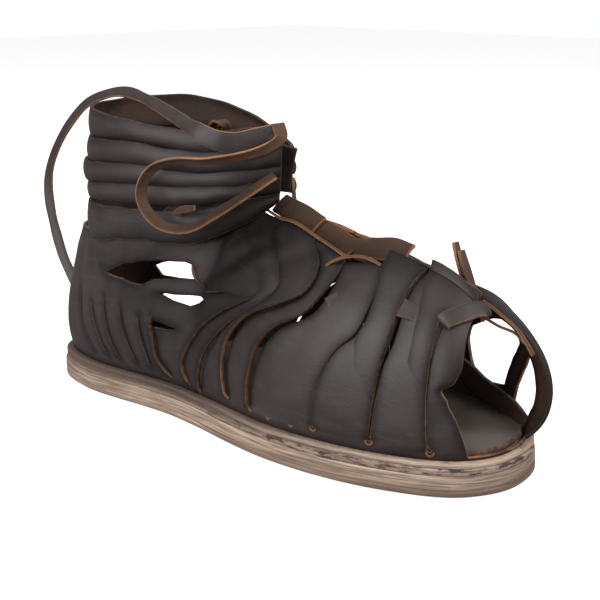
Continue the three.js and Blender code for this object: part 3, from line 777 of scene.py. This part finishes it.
# the folds, each -deep * exp(-(distance to the fold / wide)^2), fading at its ends
def foldDepth(side, at):
    total = np.zeros(at.shape[:-1])
    for s0, h0, s1, h1, wide, deep in zip(*folds.values()):
        a, b = onForm(side, np.array([s0, s1]), np.array([h0, h1]))
        along = np.clip(((at - a) @ (b - a)) / ((b - a) @ (b - a)), 0, 1)
        away = np.linalg.norm(at - (a + along[..., None] * (b - a)), axis=-1)
        fade = 0.35 + 0.65 * np.sin(math.pi * np.clip(along, 0.1, 0.9))
        total -= deep * np.exp(-(away / wide) ** 2) * fade
    return total


# the long slow swell of the leather, shared by the straps, the second layers and the marks
def swellAt(at):
    return waves(at, 45, 0.8, 3)


# base: height above which the rows are drawn out to the end of each strap; edgeLength: mm round one side;
# cell: mm between columns; rounded, roundest: how much a strap bulges, by its width and at most; topRaw: how
# tan its end is
upperSize = dict(thick=1.9, base=0.5, edgeLength=330, cell=1.6, rounded=0.05, roundest=1.2, topRaw=0.62)


# straps of one side, each a grid between two cut lines: point = wall + normal * (lift + rounding + folds)
def buildSide(side, cuts, openings, total):
    base = upperSize["base"]
    rowList = np.unique(np.round(np.r_[0, band, np.arange(0.02, 0.075, 0.006), np.linspace(0.08, 1, 60),
                                       [o["row"] for o in openings]], 4))
    mids, normals, raws, quadList = [], [], [], []
    for c0, c1 in zip(cuts[:-1], cuts[1:]):
        r = rowList[rowList <= band + 1e-6] if c0["far"] <= band else rowList
        wide = (c1["at"][2] - c0["at"][2]) * upperSize["edgeLength"]
        nu = max(int(wide / upperSize["cell"]), 6)
        u = np.linspace(0, 1, nu + 1)[:, None, None]
        # each row is held twice, just below and just above an opening
        above = np.array([-1.0, 1.0])[None, None, :]
        rr = r[None, :, None] + 0 * above
        head = c0["far"] + (c1["near"] - c0["far"]) * u
        height = np.where(rr <= base, rr, base + (rr - base) / (1 - base) * (head - base)) + 0 * u
        share = lineAt(c0, height) + (lineAt(c1, height) - lineAt(c0, height)) * u
        across = formFrame(side, share, height)[1]
        share = share + (gapAt(c0, height) * (1 - u) - gapAt(c1, height) * u) / (2 * across)
        raw = rawAt(c0, height) * (1 - u) + rawAt(c1, height) * u
        raw = np.where(rr > 0.985, upperSize["topRaw"], raw)
        lips = 0
        for o in openings:
            upper = np.where(np.abs(rr - o["row"]) < 1e-6, above, np.sign(rr - o["row"])) > 0
            inside = (share >= o["share"][0]) & (share <= o["share"][-1])
            low, high, sink, lift, tan = (np.interp(share, o["share"], o[name])
                                          for name in ("low", "high", "sink", "lift", "raw"))
            reach, stand = np.where(upper, high, low), np.where(upper, lift, sink)
            away = np.clip(1 - np.abs(rr - o["row"]) / np.where(upper, o["up"], o["down"]), 0, 1)
            height = height + np.where(inside, reach - o["row"], 0) * away
            lips = lips + np.where(inside, stand, 0) * away ** 2
            raw = np.where(inside & (np.abs(rr - o["row"]) < 1e-6), tan, raw)
        at, n = onForm(side, share, height), formFrame(side, share, height)[0]
        free = 1 - 0.75 * np.clip((rr - 0.6) / 0.35, 0, 1)
        edges = openAt(c0, height) * (1 - u) ** 2 * c0["lift"][1]
        edges = edges + openAt(c1, height) * u ** 2 * c1["lift"][0]
        bulge = min(upperSize["roundest"], upperSize["rounded"] * wide)
        rounded = 4 * u * (1 - u) * np.clip(height / 0.12, 0, 1) * bulge
        swell = (swellAt(at) + foldDepth(side, at)) * np.clip(height / 0.15, 0, 1)
        at = at + n * ((edges + rounded) * free + swell + lips)[..., None]
        index = np.arange((nu + 1) * len(r) * 2).reshape(nu + 1, len(r), 2) + total
        total += index.size
        mids.append(at.reshape(-1, 3))
        normals.append(n.reshape(-1, 3))
        raws.append(raw.ravel())
        quad = [index[:-1, :-1, 1], index[1:, :-1, 1], index[1:, 1:, 0], index[:-1, 1:, 0]]
        quadList.append(np.stack(quad, -1).reshape(-1, 4))
    return np.vstack(mids), np.vstack(normals), np.concatenate(raws), np.vstack(quadList)[:, ::-side], total


def buildUpper():
    inner = buildSide(-1, innerCuts, innerOpenings, 0)
    outer = buildSide(1, outerCuts, outerOpenings, inner[-1])
    mid, normal, raw, quads = weld(*(np.concatenate([inner[i], outer[i]]) for i in range(4)))
    obj = leatherObject("upper_straps", mid, normal, quads, upperSize["thick"], strapMats, raw=raw)
    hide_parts("upper")


buildUpper()
print("upper straps done")


# collar bands round the ankle

planStation = np.array([-1, -0.8, -0.5, -0.25, 0, 0.25, 0.5, 0.8, 1.0])
ankleLow, ankleHigh = 72, 138
planLow = columns("x y", [(151, -6), (124, -25), (84, -34), (44, -28), (18, 0), (44, 28), (84, 34),
                          (124, 28), (150, 12)])
planTop = columns("x y", [(149, 0), (128, -20), (86, -36), (48, -31), (26, 0), (48, 31), (86, 36),
                          (126, 27), (146, 9)])


# ankle wall: (1 - w) * lower plan line + w * upper plan line, w from 0 to 1 between their heights; s is -1
# at the inner front, 0 at the back and 1 at the outer front
def onAnkle(s, z):
    w = np.clip((z - ankleLow) / (ankleHigh - ankleLow), -0.3, 1.2)
    x, y = (smooth(s, planStation, planLow[k]) * (1 - w) + smooth(s, planStation, planTop[k]) * w
            for k in "xy")
    return np.stack([x, y, z + 0 * x], -1)


def ankleNormal(s, z):
    ahead = onAnkle(np.minimum(s + 0.01, 1), z) - onAnkle(np.maximum(s - 0.01, -1), z)
    return unit(np.cross(onAnkle(s, z + 1) - onAnkle(s, z - 1), ahead))


bandStation = np.array([-1, -0.9, -0.75, -0.5, -0.25, 0, 0.25, 0.5, 0.7, 0.86])
# lower edge, upper edge and stand-off from the ankle wall at each station; last: the station where the
# band ends on the outer side; raw: how tan the lower and the upper edge are
collarBands = {
    "collar_a": dict(low=[129, 127, 124.5, 128, 127, 127, 128, 127, 122, 114], last=0.82, raw=(0.3, 0.3),
                     high=[136.5, 136.5, 134, 137, 140.5, 141.5, 143, 137, 129, 123],
                     off=[0.5, 0.3, -0.5, -1, -1, -1, 0, 0, 0, 0]),
    "collar_b": dict(low=[120, 118, 116, 118, 116, 115.5, 116, 118, 114, 110], last=0.82, raw=(0.15, 0.2),
                     high=[129.5, 127.5, 125, 127.5, 126.5, 126.5, 128.5, 128.5, 123, 115.5],
                     off=[1.2, 1.2, 1.2, 0.8, 0.3, 0.3, 0.8, 1.2, 1.2, 1.2]),
    "collar_c": dict(low=[113, 110, 108.5, 109, 106, 104.5, 106, 108, 108, 106], last=0.82, raw=(0.2, 0.2),
                     high=[121, 119, 116.5, 117.5, 115, 115, 117, 119.5, 115.5, 111.5],
                     off=[-0.6, -0.3, 0.3, 1.2, 2.2, 2.8, 1.5, -0.2, -0.4, -0.4]),
    "collar_d": dict(low=[107, 105, 101, 99, 97, 96, 97, 99, 101, 102], last=0.82, raw=(0.2, 0.2),
                     high=[114, 111, 109, 108.5, 105, 104, 107, 109.5, 109.5, 107.5],
                     off=[0.8, 0.6, 0.3, 0, 0.3, 0.4, 0, 0.8, 1.0, 1.0]),
    "collar_e": dict(low=[103.5, 93, 83.5, 81.8, 76, 73, 76, 82, 84, 90], last=0.6, raw=(0.6, 0.3),
                     high=[107, 104, 98, 96, 94.3, 93.5, 94, 96, 98, 101],
                     off=[2.5, 2.6, 1.4, 0.8, 0.4, 0.2, 0.2, 0, 0, 0]),
}


bandSize = dict(thick=2.1, count=170, rows=9, rounded=0.9)    # count: points along it, rows: across


# a band is ankle wall + normal * (stand-off + rounding + swell); u is 0 at its lower edge, 1 at its upper
def buildBand(name, low, high, off, last, raw):
    s = np.linspace(-1, last, bandSize["count"])[:, None]
    u = np.linspace(0, 1, bandSize["rows"])[None, :]
    zl, zh, off = (smooth(s, bandStation, np.array(v, float)) for v in (low, high, off))
    ragged = waves(np.stack([s * 150, 0 * s, 0 * s], -1), 13, 0.5, len(name) + int(low[3]))
    z = zl + ragged + (zh - zl) * u
    s = s + 0 * u
    at, n = onAnkle(s, z), ankleNormal(s, z)
    rounded = 4 * u * (1 - u) * bandSize["rounded"]
    swell = waves(at, 40, 0.9, int(low[3])) + waves(at, 14, 0.25, int(low[3]) + 1)
    at = at + n * (off + rounded + swell)[..., None]
    tan = raw[0] + (raw[1] - raw[0]) * u + 0 * s
    if name == "collar_e":
        tan = np.where(s < -0.3, tan, 0.15)
    return leatherGrid(name, at, n, bandSize["thick"], strapMats, raw=tan.ravel())


for bandName, settings in collarBands.items():
    buildBand(bandName, **settings)
print("collar bands done")


# laces and small strips

# flat strip along a smooth curve through the points. Its face looks along face (one direction or one a
# point), or its width lies along across; turn: degrees it turns about its line; wide: mm, one number or
# several along it; cup: mm its middle stands above its edges
def ribbon(name, points, wide, thick, mats, face=None, across=None, turn=0, cup=0.0, steps=80, raw=0.6,
           slot="lace_leather"):
    points = np.array(points, float)
    run = np.r_[0, np.cumsum(np.sqrt(np.linalg.norm(np.diff(points, axis=0), axis=1)))]
    t = np.linspace(0, 1, steps)
    line = np.column_stack([smooth(t * run[-1], run, points[:, i]) for i in range(3)])
    way = unit(np.gradient(line, axis=0))
    if face is None:
        look = unit(np.cross(way, np.array(across, float)))
    else:
        face = np.broadcast_to(np.array(face, float), points.shape)
        look = np.column_stack([smooth(t * run[-1], run, face[:, i]) for i in range(3)])
    flat = unit(np.cross(look, way))
    look = unit(np.cross(way, flat))
    angle = np.radians(spread(turn, t))[:, None]
    flat, look = flat * np.cos(angle) + look * np.sin(angle), look * np.cos(angle) - flat * np.sin(angle)
    rows = 7
    v = np.linspace(-0.5, 0.5, rows)[None, :, None]
    uneven = 1 + waves(line, 16, 0.14, len(name) + steps)
    width = (spread(wide, t) * uneven)[:, None, None]
    mid = line[:, None, :] + flat[:, None, :] * v * width + look[:, None, :] * cup * (1 - 4 * v * v)
    mid = mid + look[:, None, :] * waves(line, 22, 0.5, steps)[:, None, None]
    normal = np.repeat(look[:, None, :], rows, axis=1)
    bevel = min(0.25, thick * 0.3)
    return leatherGrid(name, mid, normal, thick, mats, bevel=bevel, slot=slot, raw=raw), line


# the same strip on the upper: rows of share and height in thousandths, and mm of stand-off from the wall
def strapOn(name, side, rows, wide, thick, mats, **more):
    share, height, off = (np.array(rows, float) / [1000, 1000, 1]).T
    normal = formFrame(side, share, height)[0]
    points = onForm(side, share, height) + normal * off[:, None]
    return ribbon(name, points, wide, thick, mats, face=normal, **more)


bowPath = [(148.5, -2.5, 138.5), (151.5, -4, 132), (145.5, -14, 126), (134, -31, 123), (121, -38, 122.5),
           (109, -41.5, 119), (101.5, -42.5, 112), (99.8, -42.7, 104), (104.5, -42, 96.5), (115, -41, 92),
           (128, -37, 93), (138, -30, 100), (147, -19, 109), (153.5, -9.5, 116)]
backPath = [(148, -4, 134.6), (142.8, -10, 132.4), (136.3, -17, 130), (129, -23.5, 131.5),
            (118, -25.5, 135.4), (94, -15, 137.8), (70, -6, 141), (51, 0, 143.4), (31, 5, 144.9),
            (10, 8, 142.5), (-10, 8, 134.6), (-29, 8, 118), (-42, 8, 98), (-43, 8, 80), (-34, 8, 54),
            (-22, 8, 38), (-14, 8, 30)]
backFace = [(0.75, -0.65, 0), (0.72, -0.69, 0), (0.62, -0.78, 0), (0.5, -0.86, 0.05), (0.4, -0.85, 0.3)]
backFace += [(0.35, -0.8, 0.5)] * (len(backPath) - len(backFace))
endPath = [(249, 1, 97), (251.5, 1, 90), (255.5, 1, 82), (258.5, 1.5, 76), (257.5, 3, 70), (252.5, 4, 66.5),
           (246.5, 4, 66)]
freeLaces = {
    "bow_lace": dict(node="bow_loop", points=bowPath, across=(0.2, -1, 0.1), mats=laceMats, far="object",
                     wide=[5.4, 4.6, 4.2, 4.2, 4.6, 5, 6.2, 7, 6.4],
                     turn=[38, 38, 34, 30, 30, 30, 36, 44, 44], steps=130),
    "back_lace": dict(node="back_loop", points=backPath, face=backFace, mats=[grainSide, grainSide, cutEdge],
                      wide=[7.5, 9.5, 6.5, 5.6, 5.2, 5, 4.8, 4.6, 4.6, 4.8, 5.2], far="bare", steps=170),
    "toe_lace_end": dict(node="toe_end", points=endPath, across=(0, 1, 0), wide=[3.2, 4.2, 4.6, 4.6],
                         mats=tanMats, far="bare", steps=50),
}


for laceName, lace in freeLaces.items():
    obj, line = ribbon(laceName, lace["points"], lace["wide"], 1.5, lace["mats"], face=lace.get("face"),
                       across=lace.get("across"), turn=lace.get("turn", 0), cup=0.3, steps=lace["steps"],
                       raw=0.7)
    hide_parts(lace["node"])
    tuple(toFrame(line[0]))
    [tuple(p) for p in toFrame(line)]

# lace in the throat: four lapped lengths up the middle, flesh side out, and bars under the straps
throatRuns = [
    [(145, 2, 101.6), (152, 2, 99.4), (160, 2, 97), (169.5, 2, 93.9)],
    [(162, 3, 94.6), (170, 3, 92), (181, 3, 88.8), (193, 2.5, 85)],
    [(187, 3, 86.6), (196, 3, 86.2), (204, 3, 85.2), (213, 2.5, 83.4)],
    [(200, 1, 88.3), (208, 1, 89), (216, 1, 89.4), (224.5, 1, 89)],
]
# x and z of each bar; half its length; along it, the share of that half and the drop
throatBars = dict(places=[(240, 78.2), (216, 84.4), (190, 88.6), (162, 92.5)], half=12,
                  drops=[(-1, 6.5), (-0.5, 4.25), (0, 2), (0.5, 4.25), (1, 6.5)])
for k, path in enumerate(throatRuns):
    obj, line = ribbon(f"throat_run_{k + 1}", path, [10, 10.5, 10.5, 10], 1.7, turnedMats,
                       face=(0.15, -0.68, 0.72), steps=44, cup=0.6, raw=0.7)
    if k == 0:
        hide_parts("throat_lace")
for k, (x, z) in enumerate(throatBars["places"]):
    path = [(x, throatBars["half"] * side, z - drop) for side, drop in throatBars["drops"]]
    ribbon(f"throat_bar_{k + 1}", path, 5.6, 1.6, laceMats, across=(1, 0, -0.2), steps=30, raw=0.7)


# small pieces: lace wrapped round the front strap, strips running on to the toe, a cross strip and a
# strap end in the slits, raised edges, the knot in the collar, the strip inside beside the toes, the flap
# at the collar's front
strapOn("toe_wrap", -1, [(905, 712, -0.6), (911, 748, 2.4), (934, 845, 3.3), (950, 930, 3.3),
    (962, 985, 2.6), (972, 1000, 0.2)], [6, 7, 7, 6.4, 5.4], 1.7, laceMats, steps=50, raw=0.55)
ribbon("toe_strip_a", [(262.5, 3, 74.2), (266.6, 4, 72.2), (271, 4, 69.9), (279.6, 4, 65.3),
    (284, 5, 60), (286, 7, 55)], [1.1, 0.9, 0.9, 1.1, 1.4], 0.9, tanMats, face=(0.35, -0.55, 0.75),
    steps=50, raw=0.75)
ribbon("toe_strip_b", [(261.5, 2, 68.8), (266.6, 3, 66.7), (271.9, 3, 65), (278.5, 4, 63.4),
    (283.5, 5, 60)], [0.9, 0.8, 0.8, 0.9, 1], 0.8, tanMats, face=(0.35, -0.55, 0.75), steps=40, raw=0.6)
strapOn("cross_strip", -1, [(812, 720, -1.2), (826, 712, 0.7), (846, 712, 0.9), (872, 715, 0.4)], 8,
    1.7, laceMats, steps=24, raw=0.3)
strapOn("strap_end", -1, [(739, 565, 0.2), (728, 595, 1.3), (716, 630, 1.2)], [6, 6.8, 6.2], 1.6,
    strapMats, steps=30, raw=0.3)
strapOn("eye_lip", -1, [(374, 565, 0.8), (380, 530, 1.5), (388, 505, 1.8), (405, 487, 2),
    (440, 490, 1.8), (474, 500, 0.9)], [1.2, 2.2, 2.4, 2.2, 1.2], 1.3, edgeMats, steps=40, raw=0.85)
strapOn("flap_edge", -1, [(464, 997, 0.8), (504, 1000, 1.6), (560, 950, 2.6), (615, 903, 2),
    (654, 873, 1.8), (697, 842, 2.2)], [0.8, 0.9, 0.9, 0.9, 1], 0.8, edgeMats, steps=60, raw=0.8)
strapOn("curled_edge", -1, [(678, 758, 2), (686, 790, 2.8), (699, 828, 3.2), (721, 868, 3),
    (741, 886, 2.4), (761, 890, 1.6)], [0.8, 1.2, 1.4, 1.2, 0.9], 0.9, edgeMats, steps=50, raw=0.7)
strapOn("tab_edge", -1, [(747, 995, 1.6), (770, 1002, 1.7), (801, 1000, 1.6), (840, 1000, 1.2)],
    [0.7, 0.8, 0.8, 0.7], 0.8, edgeMats, steps=40, raw=0.6)
ribbon("knot_end", [(98.5, 1.5, 131.5), (101, 0, 134), (104, 0.5, 136), (107, 2.5, 135), (106, 5, 132.5),
    (103, 6, 131.5)], [3, 3.8, 3.8, 3.4], 1.5, tanMats, across=(0.3, 1, 0), steps=50, raw=0.6)
ribbon("toe_lace_end_b", [(253.7, 0, 94.5), (255.2, 0, 90), (257.4, 0, 84), (260, 0, 78)], [3, 4.2, 4.4],
    1.6, tanMats, across=(0, 1, 0), steps=30, raw=0.5)
strapOn("inner_strip", 1, [(690, 210, -3), (735, 170, -3.2), (780, 115, -3.4), (830, 85, -3.2),
    (868, 65, -2.8), (905, 45, -2)], [10, 9, 8.5, 8, 7], 2, strapMats, steps=50, raw=0.3)
ribbon("front_flap", [(144, 8, 127), (141, 8, 118), (139.4, 8, 106)], [9.5, 9, 8], 2.1, strapMats,
    face=(0.62, -0.78, 0.1), steps=30, raw=0.25)
ribbon("bow_inner", [(112.5, -34, 96.8), (119, -34.8, 99.6), (127, -34, 101.2)], [1.6, 3, 2.2], 1.2,
    tanMats, face=(0.55, -0.8, 0.25), steps=30, raw=0.6)


# second layer of leather on the upper between two lines: rows of height, heel side and toe side in
# thousandths, and mm of stand-off; it follows the swell and is rounded across
def panelOn(name, side, rows, thick, mats, raw, count=40, cells=14):
    rows = (np.array(rows, float) / [1000, 1000, 1000, 1])[::-1]
    height = np.linspace(rows[0, 0], rows[-1, 0], count)[:, None]
    back, front, off = (smooth(height, rows[:, 0], rows[:, k]) for k in (1, 2, 3))
    u = np.linspace(0, 1, cells)[None, :]
    share = back + (front - back) * u
    height = height + 0 * u
    at, n = onForm(side, share, height), formFrame(side, share, height)[0]
    at = at + n * (off + 1.6 * u * (1 - u) + swellAt(at))[..., None]
    return leatherGrid(name, at, n, thick, mats, raw=raw)


panelOn("tab_one", -1, [(995, 747, 834, 1.6), (900, 766, 834, 1.7), (750, 786, 834, 1.8),
    (670, 793, 833, 1.8), (600, 793, 832, 1.7), (500, 783, 827, 1.5), (400, 777, 821, 1.2),
    (300, 770, 816, 0.8), (200, 764, 811, 0.3), (100, 760, 807, -0.6)], 1.6, strapMats, raw=0.3)
panelOn("tab_two", -1, [(1055, 842, 950, 1.6), (950, 846, 946, 1.8), (850, 857, 930, 1.8),
    (780, 863, 906, 1.7), (700, 868, 900, 1.7), (550, 866, 896, 1.5), (420, 862, 891, 1),
    (280, 858, 887, 0.3), (150, 855, 885, -0.6)], 1.8, strapMats, raw=0.38)

# punched feet of the slits and awl marks: little tan half rings lying on the leather
marks = columns("share height reach", [
    (0.718, 0.046, 1.5), (0.808, 0.048, 1.6), (0.892, 0.038, 1.6), (0.631, 0.03, 0.9), (0.588, 0.034, 0.9),
    (0.677, 0.03, 0.8), (0.766, 0.055, 0.7),
])


# half ring round a place: share + reach * cos(turn) / across, height + reach * sin(turn) / up
def buildMark(name, share, height, reach):
    share, height = np.array([share]), np.array([height])
    normal, across, up = formFrame(-1, share, height)
    turn = np.linspace(math.pi * 1.02, math.pi * 1.98, 9)
    s = share + np.cos(turn) * reach / across
    h = height + np.sin(turn) * reach / up
    at = onForm(-1, s, h)
    at = at + normal * (1.15 + swellAt(at) * np.clip(h / 0.15, 0, 1))[:, None]
    ribbon(name, at, 0.8, 0.4, edgeMats, face=normal[0], steps=18, raw=0.95, slot="upper_leather")


for k, row in enumerate(zip(*marks.values())):
    buildMark(f"mark_{k + 1}", *row)
print("laces done")


# white ground, and soft light from the shoe's inner side, from above and from in front of the toe

studio = dict(
    surroundings=0.33, seen=1.0, floor=0.80, glow=0.66,
    lamps=[
        # name, place, target, size x, size y, watts
        ("key", (-0.1, -1.25, 0.5), (0, 0, 0.05), 1.6, 1, 25),
        ("top", (-0.25, -0.3, 1.3), (0, 0, 0.05), 1, 0.8, 6),
        ("front", (1.1, 0.3, 0.75), (0.05, 0, 0.04), 0.9, 0.6, 16),
    ],
)
world = bpy.data.worlds.new("studio")
bpy.context.scene.world = world
world.use_nodes = True
net = Net(world.node_tree)
backdrop = world.node_tree.nodes["Background"]
backdrop.inputs["Color"].default_value = (1, 1, 1, 1)
seen = net.add("LightPath", "Is Camera Ray")
seenMore = net.times(seen, studio["seen"] - studio["surroundings"])
net.put(backdrop.inputs["Strength"], net.plus(seenMore, studio["surroundings"]))
for name, at, to, sizeX, sizeY, watts in studio["lamps"]:
    lampData = bpy.data.lights.new(name, "AREA")
    lampData.shape = "RECTANGLE"
    lampData.size, lampData.size_y = sizeX, sizeY
    lampData.energy = watts
    lamp = addObject(name, lampData)
    lamp.location = at
    lamp.rotation_euler = turnTo(at, to)

floorMat, net, shader = newMaterial("floor_paper")
shader.inputs["Base Color"].default_value = (studio["floor"],) * 3 + (1,)
shader.inputs["Roughness"].default_value = 0.9
shader.inputs["Emission Color"].default_value = (1, 1, 1, 1)
shader.inputs["Emission Strength"].default_value = studio["glow"]
floorMesh = bpy.data.meshes.new("floor")
floorMesh.from_pydata([(-3, -3, 0), (3, -3, 0), (3, 3, 0), (-3, 3, 0)], [], [(0, 1, 2, 3)])
floorMesh.materials.append(floorMat)
floor = addObject("floor", floorMesh)
floor.location.z = -0.0003
floor.visible_diffuse = floor.visible_glossy = False
print("light and floor done")
